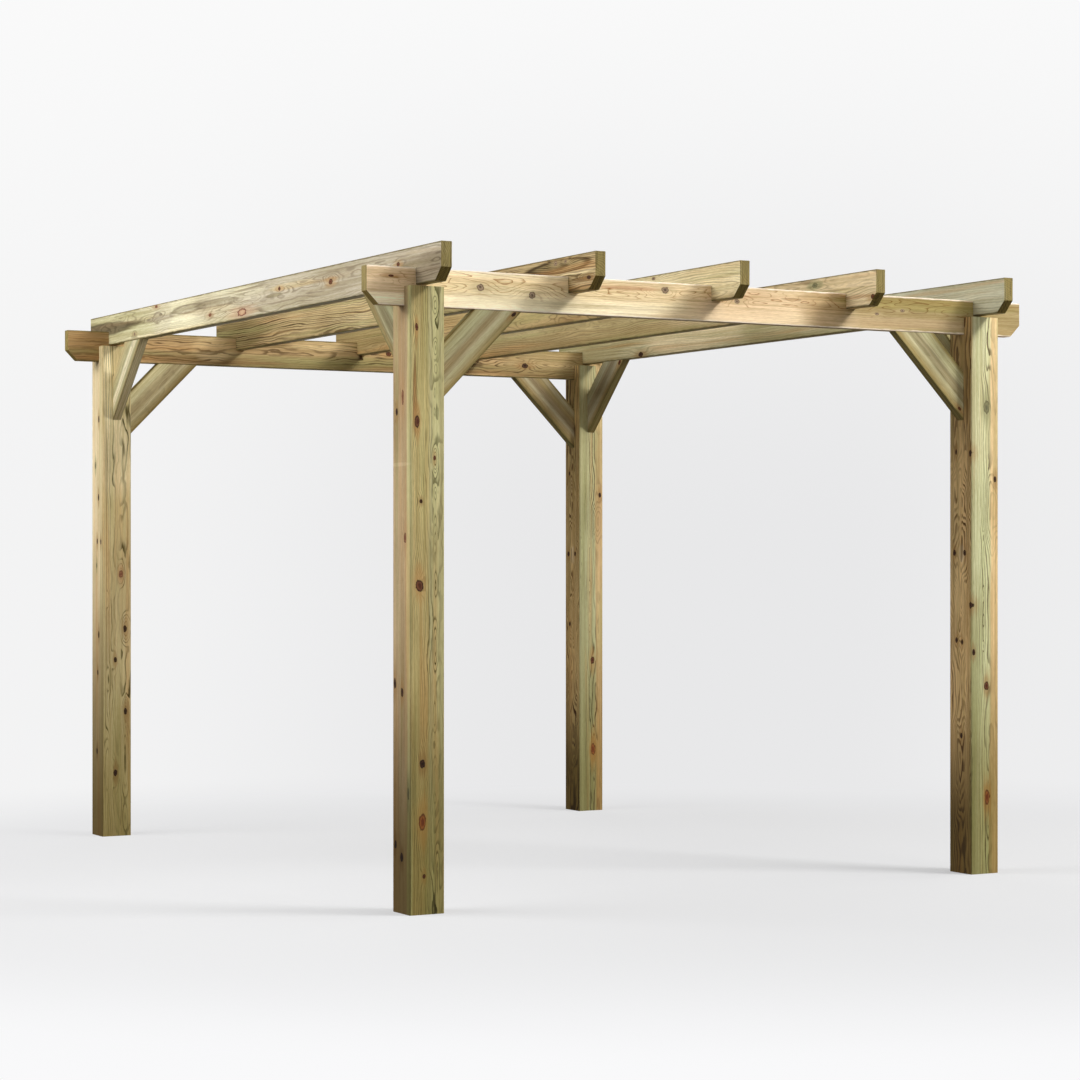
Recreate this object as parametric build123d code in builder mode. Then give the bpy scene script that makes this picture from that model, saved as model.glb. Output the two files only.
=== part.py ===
"""Free-standing timber pergola: four posts, two beams, five rafters and eight knee braces.

Millimetres, +Z up. The origin is on the ground, at the middle of the rectangle of posts.
X runs along the beams, and Y runs along the rafters, from the front beam at -Y to the back beam at +Y.
"""
import os

from build123d import *

# ---- Overall sizes -------------------------------------------------------------------------------
frame_width = 2700.0        # over the outside faces of the posts, along the beams
frame_depth = 3300.0        # over the outside faces of the posts, along the rafters
beam_underside = 2206.0     # ground to the underside of the beams

# ---- Timber sections -----------------------------------------------------------------------------
post_side = 140.0           # square posts
post_arris = 5.0            # rounding of the long edges of a post
beam_depth = 140.0
beam_thickness = 44.0
rafter_depth = 140.0
rafter_thickness = 44.0
brace_width = 140.0         # across the face of a brace
brace_thickness = 40.0
arris = 3.0                 # rounding of the long edges of every other timber

# ---- Ends and overhangs --------------------------------------------------------------------------
beam_overhang = 150.0       # beyond the outside face of the post
rafter_overhang = 150.0
beam_clip = 48.0            # legs of the 45 degree cut under each end
rafter_clip = 48.0

# ---- Joints --------------------------------------------------------------------------------------
rafter_count = 5
beam_notch = 31.0           # depth of the notch in the top of a beam
rafter_notch = 31.0         # depth of the notch in the underside of a rafter
tongue_gap = 8.0            # air between the top of a post and the rafter above it
side_clearance = 0.5        # on each side of a timber that sits in a notch or a slot
brace_reach = 350.0         # from the inner corner to the tip of a brace, along each of its two legs

# ---- Worked out from the sizes above -------------------------------------------------------------
beam_top = beam_underside + beam_depth
rafter_underside = beam_top - beam_notch - rafter_notch
post_height = rafter_underside - tongue_gap
slot_width = beam_thickness + 2 * side_clearance
beam_length = frame_width + 2 * beam_overhang
rafter_length = frame_depth + 2 * rafter_overhang
post_x = (frame_width - post_side) / 2      # centre line of the left and right posts
post_y = (frame_depth - post_side) / 2      # centre line of the front and back posts
rafter_pitch = 2 * post_x / (rafter_count - 1)

SIDES = {"left": -1, "right": 1}
ROWS = {"front": -1, "back": 1}


def clipped_bar(length, depth, thickness, clip):
    """A bar along X with its underside at Z = 0, rounded long edges and clipped lower corners."""
    with BuildPart() as bar:
        with BuildSketch(Plane.YZ):
            with Locations((0, depth / 2)):
                RectangleRounded(thickness, depth, arris)
        extrude(amount=length / 2, both=True)
        with BuildSketch(Plane.XZ):
            with BuildLine():
                Polyline(
                    (-length / 2, clip),
                    (-length / 2 + clip, 0),
                    (length / 2 - clip, 0),
                    (length / 2, clip),
                    (length / 2, depth),
                    (-length / 2, depth),
                    close=True,
                )
            make_face()
        extrude(amount=thickness, both=True, mode=Mode.INTERSECT)
    return bar.part


def make_post():
    """A square post that stands on Z = 0, with a slot in its head that takes the beam."""
    with BuildPart() as post:
        with BuildSketch(Plane.XY):
            RectangleRounded(post_side, post_side, post_arris)
        extrude(amount=post_height)
        with Locations((0, 0, beam_underside)):
            Box(
                post_side,
                slot_width,
                post_height - beam_underside,
                align=(Align.CENTER, Align.CENTER, Align.MIN),
                mode=Mode.SUBTRACT,
            )
    return post.part


def make_beam():
    """A beam along X, underside at Z = 0, with a notch in its top for each rafter."""
    bar = clipped_bar(beam_length, beam_depth, beam_thickness, beam_clip)
    with BuildPart() as beam:
        add(bar)
        with Locations((0, 0, beam_depth)):
            with GridLocations(rafter_pitch, 0, rafter_count, 1):
                Box(
                    rafter_thickness + 2 * side_clearance,
                    beam_thickness,
                    beam_notch,
                    align=(Align.CENTER, Align.CENTER, Align.MAX),
                    mode=Mode.SUBTRACT,
                )
    return beam.part


def make_rafter():
    """A rafter along X, underside at Z = 0, with a notch in its underside over each beam."""
    bar = clipped_bar(rafter_length, rafter_depth, rafter_thickness, rafter_clip)
    with BuildPart() as rafter:
        add(bar)
        with GridLocations(2 * post_y, 0, 2, 1):
            Box(
                beam_thickness + 2 * side_clearance,
                rafter_thickness,
                rafter_notch,
                align=(Align.CENTER, Align.CENTER, Align.MIN),
                mode=Mode.SUBTRACT,
            )
    return rafter.part


def make_brace():
    """A knee brace in the XZ plane: its inner corner is the origin, and its legs run to +X and -Z."""
    inner_reach = brace_reach - brace_width * 2**0.5
    with BuildPart() as brace:
        with BuildSketch(Plane.XZ):
            with BuildLine():
                Polyline(
                    (inner_reach, 0),
                    (brace_reach, 0),
                    (0, -brace_reach),
                    (0, -inner_reach),
                    close=True,
                )
            make_face()
        extrude(amount=brace_thickness / 2, both=True)
        long_edges = brace.edges().filter_by(Axis((0, 0, 0), (1, 0, 1)))
        fillet(long_edges, arris)
    return brace.part


def save(solid, name):
    """Label one piece and write its STEP file."""
    solid.label = name
    export_step(solid, f"parts/{name}.step")


os.makedirs("parts", exist_ok=True)

post = make_post()
beam = make_beam()
rafter = make_rafter()
brace = make_brace()

# Posts, and the braces that rise from each post to its beam and to its rafter
for row, y_sign in ROWS.items():
    for side, x_sign in SIDES.items():
        post_place = Pos(x_sign * post_x, y_sign * post_y, 0)
        save(post_place * post, f"post_{row}_{side}")

        # a brace turned about Z points inwards, away from the outside of the frame
        along_beam = 0 if x_sign < 0 else 180
        beam_corner = Pos(
            x_sign * (post_x - post_side / 2),
            y_sign * post_y,
            beam_underside,
        )
        save(beam_corner * Rot(0, 0, along_beam) * brace, f"beam_brace_{row}_{side}")

        along_rafter = 90 if y_sign < 0 else -90
        rafter_corner = Pos(
            x_sign * post_x,
            y_sign * (post_y - post_side / 2),
            rafter_underside,
        )
        save(rafter_corner * Rot(0, 0, along_rafter) * brace, f"rafter_brace_{row}_{side}")

# Beams, bedded in the slots of the posts
for row, y_sign in ROWS.items():
    save(Pos(0, y_sign * post_y, beam_underside) * beam, f"beam_{row}")

# Rafters, numbered from the left
for index in range(rafter_count):
    x = -post_x + index * rafter_pitch
    save(Pos(x, 0, rafter_underside) * Rot(0, 0, 90) * rafter, f"rafter_{index + 1}")
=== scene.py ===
"""Looks for the free-standing timber pergola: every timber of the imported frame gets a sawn, planed surface
of its own, cut from its own log, in green-treated softwood.

Metres, in the frame of the CAD: +Z up, origin on the ground in the middle of the four posts.
A timber has wood coordinates of its own: s runs along it, a goes through it and b goes across it.
"""

from dataclasses import dataclass, field
from math import pi, radians, sqrt

import bpy
import numpy as np
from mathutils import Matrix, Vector


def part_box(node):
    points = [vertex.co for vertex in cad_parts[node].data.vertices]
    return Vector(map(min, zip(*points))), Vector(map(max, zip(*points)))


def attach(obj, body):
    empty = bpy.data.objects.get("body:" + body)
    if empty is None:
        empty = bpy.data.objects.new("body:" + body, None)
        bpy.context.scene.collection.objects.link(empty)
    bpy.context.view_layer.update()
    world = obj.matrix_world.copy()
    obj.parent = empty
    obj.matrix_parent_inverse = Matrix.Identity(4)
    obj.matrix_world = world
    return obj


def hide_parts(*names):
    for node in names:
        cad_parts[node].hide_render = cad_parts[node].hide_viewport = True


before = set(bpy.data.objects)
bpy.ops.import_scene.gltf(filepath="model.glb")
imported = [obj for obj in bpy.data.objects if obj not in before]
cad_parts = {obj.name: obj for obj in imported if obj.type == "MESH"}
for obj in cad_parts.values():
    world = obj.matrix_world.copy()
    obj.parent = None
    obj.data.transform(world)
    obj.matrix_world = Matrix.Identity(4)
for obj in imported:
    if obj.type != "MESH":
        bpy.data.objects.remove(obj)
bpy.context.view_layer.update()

mm = 0.001

# ---- Cuts of the timbers that no box of the frame gives ----------------------
POST_ARRIS = 5 * mm         # rounding of the long edges of a post
ARRIS = 3 * mm              # rounding of the long edges of every other timber
END_CLIP = 48 * mm          # legs of the cut under each end of a beam or rafter
END_ZONE = 80 * mm          # how far from an end its cells lean with the clipped end
SIDE_CLEARANCE = 0.5 * mm   # on each side of a timber that sits in a notch or a slot
BRACE_WIDTH = 140 * mm

# ---- Size of the cells of a surface ------------------------------------------
ALONG_CELL = 12 * mm
ACROSS_CELL = 5 * mm
LEAST_CELLS = 3             # in every interval, so that an arris is round
SHARP_ANGLE = radians(35)

# ---- Planing: how far a face lies inside its true plane ----------------------
CUP = 0.35 * mm             # hollow in the middle of a wide face
CHATTER = 0.12 * mm         # slow waves left by the planer
KNOT_DIP = 0.3 * mm         # hollow at a knot
DIP_SPREAD = 1.5            # how much wider than its knot a dip is
PLANE_HOLD = 6              # how soon the planing takes hold away from an arris


# ==== Colours =================================================================
def srgb(red, green, blue):
    """A colour of 0 to 255 on a display, as the linear colour a shader works with."""
    c = np.array((red, green, blue)) / 255
    return tuple(np.where(c <= 0.04045, c / 12.92, ((c + 0.055) / 1.055) ** 2.4).tolist()) + (1.0,)


# ==== Timbers =================================================================
@dataclass
class Timber:
    """One straight timber: its wood coordinates, its half sizes and its cuts."""
    node: str
    slot: str
    origin: np.ndarray              # where s, a and b are 0
    axes: np.ndarray                # the directions of s, a and b, one to a row
    length: float
    half: tuple                     # half thickness (a) and half width (b)
    arris: float
    sides: tuple                    # what the -a, +a, -b and +b faces are called
    notches: list = field(default_factory=list)     # (s from, s to, b from, b to) with no wood
    clip: str = ""                  # "" for square ends, "under" for clipped ones, "mitre" for a brace


def corners(node):
    """The lowest and highest corner of a CAD node, as arrays."""
    low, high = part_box(node)
    return np.array(low), np.array(high)


def post(node, beam):
    """A post: s runs down from its head, a to the right and b to the back. Its slot takes the beam."""
    low, high = corners(node)
    beam_low, beam_high = corners(beam)
    middle = (low + high) / 2
    slot = (beam_high[1] - beam_low[1]) / 2 + SIDE_CLEARANCE
    return Timber(
        node, "post_timber", np.array((middle[0], middle[1], high[2])),
        np.array(((0, 0, -1), (1, 0, 0), (0, 1, 0)), float),
        high[2] - low[2], ((high[0] - low[0]) / 2, (high[1] - low[1]) / 2), POST_ARRIS,
        ("left", "right", "front", "back"),
        [(0, high[2] - beam_low[2], -slot, slot)])


def beam(node, rafters):
    """A beam: s runs to the right, a to the back and b up. Each rafter sits half in a notch of its top."""
    low, high = corners(node)
    middle = (low + high) / 2
    half_b = (high[2] - low[2]) / 2
    notches = []
    for rafter in rafters:
        rafter_low, rafter_high = corners(rafter)
        floor = (rafter_low[2] + high[2]) / 2 - middle[2]
        notches.append((rafter_low[0] - low[0] - SIDE_CLEARANCE, rafter_high[0] - low[0] + SIDE_CLEARANCE,
                        floor, half_b))
    return Timber(
        node, "beam_timber", np.array((low[0], middle[1], middle[2])),
        np.array(((1, 0, 0), (0, 1, 0), (0, 0, 1)), float),
        high[0] - low[0], ((high[1] - low[1]) / 2, half_b), ARRIS,
        ("front", "back", "under", "top"), notches, "under")


def rafter(node, beams):
    """A rafter: s runs to the front, a to the right and b up. Its underside is notched over each beam."""
    low, high = corners(node)
    middle = (low + high) / 2
    half_b = (high[2] - low[2]) / 2
    notches = []
    for carrier in beams:
        beam_low, beam_high = corners(carrier)
        ceiling = (beam_high[2] + low[2]) / 2 - middle[2]
        notches.append((high[1] - beam_high[1] - SIDE_CLEARANCE, high[1] - beam_low[1] + SIDE_CLEARANCE,
                        -half_b, ceiling))
    return Timber(
        node, "rafter_timber", np.array((middle[0], high[1], middle[2])),
        np.array(((0, -1, 0), (1, 0, 0), (0, 0, 1)), float),
        high[1] - low[1], ((high[0] - low[0]) / 2, half_b), ARRIS,
        ("left", "right", "under", "top"), notches, "under")


def brace(node, run, through, sides):
    """A knee brace: s runs down along it to the post. run is the axis that it leans along, and through the
    one that its thickness lies on."""
    low, high = corners(node)
    middle = (low + high) / 2
    outward = np.sign(middle[run])          # towards the post
    down, up = np.zeros(3), np.zeros(3)
    down[[run, 2]] = outward / sqrt(2), -1 / sqrt(2)
    up[[run, 2]] = outward / sqrt(2), 1 / sqrt(2)
    thick = np.zeros(3)
    thick[through] = 1
    tip = middle.copy()
    tip[2] = high[2]
    tip[run] = middle[run] - outward * (high[run] - low[run]) / 2
    half_b = BRACE_WIDTH / 2
    return Timber(
        node, "brace_timber", tip + up * half_b, np.array((down, thick, up)),
        (high[run] - low[run]) * sqrt(2), ((high[through] - low[through]) / 2, half_b), ARRIS,
        sides, [], "mitre")


RAFTERS = [f"rafter_{count}" for count in range(1, 6)]
BEAMS = ["beam_front", "beam_back"]
ENDS = ("left", "right")
ROWS = ("front", "back")

timbers = [post(f"post_{row}_{end}", f"beam_{row}") for row in ROWS for end in ENDS]
timbers += [beam(node, RAFTERS) for node in BEAMS]
timbers += [rafter(node, BEAMS) for node in RAFTERS]
timbers += [brace(f"beam_brace_{row}_{end}", 0, 1, ("front", "back", "outer", "inner"))
            for row in ROWS for end in ENDS]
timbers += [brace(f"rafter_brace_{row}_{end}", 1, 0, ("left", "right", "outer", "inner"))
            for row in ROWS for end in ENDS]


# ==== How each timber's wood looks ============================================
@dataclass
class Mark:
    """A mark on one face: how far along the timber and across from its middle, and half sizes, in mm."""
    side: str
    s: float
    across: float
    half_long: float
    half_wide: float


@dataclass
class Knot(Mark):
    kind: str


@dataclass
class StainOrPaintedLight(Mark):
    """A soft-edged patch: mostly a stain in the wood, in a few places painted light and shade; and how
    strongly it and a darker outline show.
    """
    colour: tuple
    strength: float
    outline: float = 0.0


@dataclass
class Eye(Mark):
    """Nested arches of rings, where the log bends through the face: how many lie one inside the other, less
    than 0 where the log bends out, and whether they are pointed."""
    rings: float
    pointed: bool = False


class Face:
    """One face of a timber: its tones from the low edge to the high edge, its eyes, its stains and its
    patches of painted light and shade, each over the ones before it, and its knots by their kind. A mark is
    given by its values after the side."""

    def __init__(self, side, tones, eyes=(), stains_and_painted_light=(), **knots):
        self.side, self.tones = side, tones
        self.eyes = [Eye(side, *row) for row in eyes]
        self.stains_and_painted_light = [StainOrPaintedLight(side, *row) for row in stains_and_painted_light]
        self.knots = [Knot(side, *row, kind) for kind, rows in knots.items() for row in rows]


# Softwood with a green preservative in it: pinks and browns where the heart shows, greens where it took.
PINK_BROWN = srgb(190, 164, 124)
OLD_PINK = srgb(176, 148, 108)
PALE_GREEN = srgb(200, 191, 136)
TAN_YELLOW = srgb(196, 176, 117)
GREEN_GREY = srgb(184, 174, 126)
WARM_BROWN = srgb(189, 160, 106)
SAGE = srgb(194, 190, 143)
DARK_SAGE = srgb(170, 164, 119)
SPRING_GREEN = srgb(211, 208, 158)
ORANGE_TAN = srgb(226, 194, 138)
CREAM = srgb(224, 204, 162)
OLD_CREAM = srgb(214, 194, 148)
TAN = srgb(198, 180, 130)
PALE_TAN = srgb(212, 194, 146)
PEACH = srgb(255, 240, 200)
DEEP_PEACH = srgb(254, 232, 184)
PINK_EDGE = srgb(230, 200, 158)
OLIVE_TAN = srgb(158, 138, 90)
HONEY = srgb(190, 160, 112)
BROWN_BAND = srgb(140, 110, 68)
PALE_HONEY = srgb(222, 194, 142)
ORANGE_BROWN = srgb(160, 124, 76)
YELLOW_CREAM = srgb(220, 211, 175)
GREY_BEIGE = srgb(187, 175, 149)
STAIN_GREY = srgb(96, 82, 60)
LENS_GREY = srgb(168, 156, 128)
STRAW = srgb(184, 158, 108)
PALE_YELLOW = srgb(246, 230, 184)
GREY_TAN = srgb(182, 168, 122)
SAND = srgb(240, 217, 174)
OLIVE = srgb(150, 134, 84)
MOSS = srgb(172, 166, 126)
SILVER_GREEN = srgb(184, 175, 136)
DRAB = srgb(150, 138, 102)
RED_STREAK = srgb(204, 156, 116)
AMBER = srgb(190, 132, 72)
DARK_OLIVE = srgb(100, 90, 48)
DUSK_GREY = srgb(140, 125, 101)
OLD_SAGE = srgb(175, 171, 127)
SHADE_SAGE = srgb(150, 143, 103)
DULL_ORANGE = srgb(192, 161, 113)
OLD_TAN = srgb(196, 177, 131)
GREY_STRAW = srgb(187, 164, 118)
DEEP_OLIVE = srgb(128, 112, 70)
BARK_TAN = srgb(198, 166, 113)
FLAME = srgb(158, 112, 62)
STAINED_GREEN = srgb(190, 182, 140)
WARM_TAN = srgb(222, 192, 146)
GREEN_OLIVE = srgb(154, 140, 82)
# a painted highlight along the front beam's arrises
ARRIS_HIGHLIGHT = srgb(255, 238, 216)
GREEN_BEIGE = srgb(206, 202, 172)
MIST_TAN = srgb(208, 198, 156)
WHITE_GREEN = srgb(224, 220, 194)
OLIVE_LINE = srgb(104, 100, 66)     # what late wood multiplies the tone by
BROWN_LINE = srgb(126, 100, 70)
PEACH_LINE = srgb(184, 144, 98)
DEEP_LINE = srgb(104, 80, 52)


def across(*stops):
    """Tones across a face from (place 0 to 1, colour, how strongly the late wood shows) stops."""
    return [(place, colour[:3] + (grain,)) for place, colour, grain in stops]


def even(grain, *colours):
    """Tones spread evenly from one edge of a face to the other, with one strength of late wood."""
    stops = colours if len(colours) > 1 else colours * 2
    return across(*((i / (len(stops) - 1), c, grain) for i, c in enumerate(stops)))


HONEY_FACE = even(0.6, HONEY, TAN)
HONEY_EDGE = even(0.5, HONEY, TAN)
PLAIN_TONES = {"right": HONEY_FACE, "back": HONEY_FACE, "under": HONEY_EDGE, "top": HONEY_EDGE}


@dataclass
class Wood:
    """How the wood of one timber looks. A face that isn't given has no marks and the plain tones."""
    faces: list
    pith: tuple                     # where the heart of the log lies, (a, b) in mm
    ring: float = 7.0               # mm from ring to ring
    line: tuple = OLIVE_LINE
    edge: float = 0.85              # how strongly the arrises show edge_tone: a dark tone draws their dark lines, which along the lower arrises are painted shade, and a pale one is a painted highlight
    edge_tone: tuple = DARK_OLIVE
    mottle: float = 0.35            # how strongly greener and warmer streaks show
    swirl: float = 25.0             # mm that eddies shift the rings by where a face runs along them
    wave: float = 42.0              # mm that slow noise bends the rings by
    push: float = 1.4               # rings that a knot pushes the grain aside by
    pale: tuple = (0.45, 0.45)      # how much of a ring stays pale, on the faces across a and across b
    foot: tuple = (1.5, 2.1)        # where the left face of a post gets darker with painted shade, in metres from its head
    seed: float = 0.0

    def __post_init__(self):
        self.tones = PLAIN_TONES | {face.side: face.tones for face in self.faces}
        self.eyes = [eye for face in self.faces for eye in face.eyes]
        self.stains_and_painted_light = [patch for face in self.faces for patch in face.stains_and_painted_light]
        self.knots = [knot for face in self.faces for knot in face.knots]


# The arches in the two posts on the right hand, which are cut alike.
RIGHT_LEFT_EYES = [
    (967, -6, 560, 190, -10, True), (1290, 6, 90, 30, -2), (1800, 0, 400, 120, -5, True)
]
RIGHT_FRONT_EYES = [
    (790, 40, 180, 62, -4), (900, -6, 40, 6, 1.5), (1130, -6, 44, 6, 1.5), (1240, -4, 36, 6, 1.5),
    (1345, -6, 30, 6, 1.5), (2000, 20, 200, 14, 3)
]
RIGHT_CUT = dict(pith=(45, -6), ring=6, line=DEEP_LINE, pale=(0.34, 0.48), swirl=6, wave=16, push=0.5,
                 edge=0.15)

WOODS = {}
WOODS["post_front_left"] = Wood([
    Face("left", across((0, PALE_GREEN, 0.3), (0.11, PALE_GREEN, 0.4), (0.2, PINK_BROWN, 0.7),
            (0.55, PINK_BROWN, 0.8), (1, PINK_BROWN, 0.6)),
        red=[(400, -10, 25, 9), (913, -29, 17, 9)],
        dark=[(453, 38, 12, 8), (1443, 53, 18, 9), (1473, -5, 15, 9), (2030, 47, 14, 9),
            (2072, -3, 16, 11)],
        green=[(1837, -55, 23, 8)],
        stains_and_painted_light=[(260, 30, 340, 80, OLD_PINK, 0.7), (645, 0, 7, 80, CREAM, 0.35),
            (1550, -10, 200, 20, OLD_PINK, 0.5)]),
    Face("right", even(0.6, TAN, PINK_BROWN, TAN)),
    Face("front", across((0, PALE_GREEN, 0.4), (0.1, TAN_YELLOW, 0.8), (0.5, TAN_YELLOW, 0.8),
            (0.6, GREEN_GREY, 0.8), (0.66, PALE_GREEN, 1.1), (0.82, PALE_GREEN, 1.1),
            (0.88, GREEN_GREY, 0.5), (1, PALE_GREEN, 0.5)),
        eyes=[(68, 33, 52, 14, 2.5), (222, 34, 48, 13, 2.5), (296, 35, 28, 9, 1.5), (385, 31, 44, 5, 1),
            (455, 29, 34, 4, 1), (640, 33, 66, 14, 2.5), (748, 33, 34, 9, 1.5), (900, 32, 90, 11, 2.5),
            (1080, 34, 60, 9, 1.5), (1300, 33, 110, 12, 2.5), (1560, 31, 80, 9, 1.5),
            (1790, 33, 110, 12, 2.5), (2120, 40, 120, 12, 2), (492, -41, 60, 20, -3),
            (1085, -31, 70, 28, -3)],
        brown=[(150, -43, 12, 6), (492, -41, 21, 10), (623, 30, 9, 5), (1085, -31, 22, 15),
            (2137, -13, 9, 6)],
        dark=[(780, -25, 7, 6), (1730, -19, 15, 11)], orange=[(1940, -19, 28, 14)],
        stains_and_painted_light=[(400, -50, 170, 8, FLAME, 0.8, 0.4), (480, -40, 80, 15, FLAME, 0.5),
            (175, -44, 70, 8, FLAME, 0.5), (1060, -33, 60, 20, AMBER, 0.25),
            (1150, 0, 350, 120, OLIVE_TAN, 0.2), (1960, 0, 480, 120, OLIVE, 0.25)]),
    Face("back", even(0.6, TAN, SAGE)),
], pith=(34, -150), ring=4.5, seed=1, pale=(0.5, 0.5), swirl=5, wave=7, edge=0.15, foot=(1.3, 2.1))
WOODS["post_front_right"] = Wood([
    Face("left", even(1.0, BARK_TAN, BARK_TAN, HONEY), eyes=RIGHT_LEFT_EYES,
        dark=[(557, -63, 13, 7), (1177, -64, 13, 7), (1329, -11, 10, 7), (1713, -5, 11, 8),
            (550, 29, 11, 6), (963, -27, 12, 9), (963, 39, 12, 9), (1322, 26, 11, 8)],
        stains_and_painted_light=[(967, -6, 45, 20, CREAM, 0.6), (1120, 0, 140, 40, ORANGE_TAN, 0.5)]),
    Face("right", even(0.5, ORANGE_TAN, WARM_BROWN)),
    Face("front", across((0, DARK_SAGE, 0.4), (0.14, SAGE, 0.5), (0.4, SPRING_GREEN, 1.0),
            (0.66, SPRING_GREEN, 1.0), (0.74, ORANGE_TAN, 0.4), (1, ORANGE_TAN, 0.3)),
        eyes=RIGHT_FRONT_EYES, green=[(367, 9, 25, 14)], dark=[(1370, -57, 12, 7), (662, 53, 12, 7)],
        brown=[(1507, 9, 18, 11)], orange=[(1963, 13, 29, 13)],
        stains_and_painted_light=[(1963, 13, 70, 24, AMBER, 0.5), (367, 9, 50, 26, DARK_SAGE, 0.4),
            (1507, 9, 50, 20, ORANGE_BROWN, 0.35), (250, 0, 420, 130, PALE_YELLOW, 0.15),
            (2000, 0, 550, 130, OLIVE, 0.1)]),
    Face("back", even(0.6, SAGE, TAN)),
], seed=2, **RIGHT_CUT)
WOODS["post_back_left"] = Wood([
    Face("left", even(0.25, OLD_TAN, CREAM, CREAM),
        dark=[(339, -18, 15, 8), (703, -15, 14, 7), (907, 2, 12, 7), (910, -45, 12, 7), (1340, -18, 15, 8),
            (1517, -5, 12, 7), (1883, 5, 14, 8)],
        green=[(553, 25, 15, 8), (1020, 9, 12, 6)],
        stains_and_painted_light=[(1500, 20, 260, 30, ORANGE_BROWN, 0.3), (1850, 0, 900, 150, HONEY, 0.4)]),
    Face("right", even(0.5, TAN, HONEY)),
    Face("front", across((0, TAN, 0.8), (0.15, TAN, 1.2), (0.36, TAN, 1.0), (0.46, TAN, 0.3),
            (0.62, TAN, 0.3), (0.72, TAN, 1.3), (0.9, TAN, 1.3), (1, PALE_TAN, 0.8)),
        eyes=[(1059, 20, 70, 20, 2), (1175, -41, 58, 14, 1.5), (1313, 43, 90, 26, 3),
            (1546, -38, 90, 14, 2), (1697, 45, 120, 26, 3, True), (1930, -42, 240, 22, 3.5),
            (1900, 40, 290, 30, 4.5), (2190, 40, 90, 22, 2)],
        red=[(1059, 20, 17, 10)],
        dark=[(1313, 40, 15, 8), (1457, -7, 12, 7), (1697, 42, 14, 8), (1983, -7, 15, 9)],
        stains_and_painted_light=[(1059, 20, 50, 18, AMBER, 0.3), (700, -51, 900, 3, BROWN_BAND, 0.7),
            # the PALE_YELLOW patch at 150 mm is painted light over the shadow of the brace
            (150, -46, 240, 26, PALE_YELLOW, 0.85), (520, 0, 230, 90, CREAM, 0.35),
            (1120, 0, 210, 90, OLIVE_TAN, 0.2), (1700, 0, 600, 120, CREAM, 0.2),
            (1560, -36, 60, 12, OLIVE, 0.3)]),
    Face("back", even(0.6, SAGE, TAN)),
], pith=(40, -150), ring=7, seed=3, pale=(0.5, 0.55), swirl=7, wave=9, edge=0.15, foot=(0.7, 2.2))
WOODS["post_back_right"] = Wood([
    Face("left", even(1.2, WARM_BROWN), eyes=RIGHT_LEFT_EYES,
        dark=[(550, 29, 11, 6), (963, -27, 12, 9), (963, 39, 12, 9), (1322, 26, 11, 8)],
        stains_and_painted_light=[(967, -6, 45, 20, CREAM, 0.5)]),
    Face("right", even(0.5, WARM_BROWN, ORANGE_TAN)),
    Face("front", across((0, SHADE_SAGE, 0.4), (0.14, OLD_SAGE, 0.5), (0.4, OLD_SAGE, 1.2),
            (0.66, OLD_SAGE, 1.2), (0.74, DULL_ORANGE, 0.4), (1, DULL_ORANGE, 0.3)),
        eyes=RIGHT_FRONT_EYES, dark=[(662, 53, 12, 7)], brown=[(1507, 9, 18, 11)],
        orange=[(1963, 13, 29, 13)],
        stains_and_painted_light=[(1963, 13, 70, 24, AMBER, 0.5), (380, 20, 60, 26, DARK_SAGE, 0.35),
            (350, 0, 420, 130, PALE_GREEN, 0.25)]),
    Face("back", even(0.6, TAN, SAGE)),
], seed=4, **RIGHT_CUT)
WOODS["beam_front"] = Wood([
    Face("front", across((0, PEACH, 0.3), (0.08, PEACH, 0.35), (0.3, PEACH, 0.45), (0.5, DEEP_PEACH, 0.9),
            (0.8, DEEP_PEACH, 1.2), (1, PEACH, 0.9)),
        eyes=[(430, 16, 170, 46, 2.5), (700, 8, 150, 48, 3.5), (1267, 34, 110, 26, 2),
            (1597, 13, 90, 26, 2), (2650, 20, 160, 26, 3)],
        brown=[(98, 35, 11, 4)],
        grey=[(465, 11, 14, 12), (683, -7, 14, 12), (1267, 40, 16, 12), (1597, 13, 11, 9),
            (2270, -5, 10, 6), (2397, 13, 11, 6)],
        stains_and_painted_light=[(2100, 0, 1150, 160, WARM_TAN, 0.75), (2700, 0, 740, 130, OLIVE_TAN, 0.9),
            # the ORANGE_BROWN patch at 2010 mm is partly the wood's tone and partly painted shade of
            # rafter_4
            (2010, 10, 150, 90, ORANGE_BROWN, 0.5), (1120, 40, 190, 7, RED_STREAK, 0.6),
            (560, 2, 130, 22, MOSS, 0.2), (1850, 33, 52, 7, ORANGE_BROWN, 0.9, 0.4),
            (1640, -5, 300, 80, PINK_EDGE, 0.7), (80, 20, 190, 60, PINK_EDGE, 0.9),
            (110, 35, 60, 8, RED_STREAK, 0.5), (2400, -36, 500, 26, PINK_BROWN, 0.7),
            (2560, 40, 560, 28, GREEN_OLIVE, 0.85)]),
    Face("under", even(0.5, PINK_EDGE, HONEY)),
    Face("top", even(0.5, PEACH, TAN)),
], pith=(-62, 30), ring=5, seed=5, line=PEACH_LINE, pale=(0.66, 0.5), swirl=24, wave=14, push=1,
   # the front beam's arrises get a pale tone: a painted highlight
   mottle=0.12, edge=0.75, edge_tone=ARRIS_HIGHLIGHT)
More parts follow.
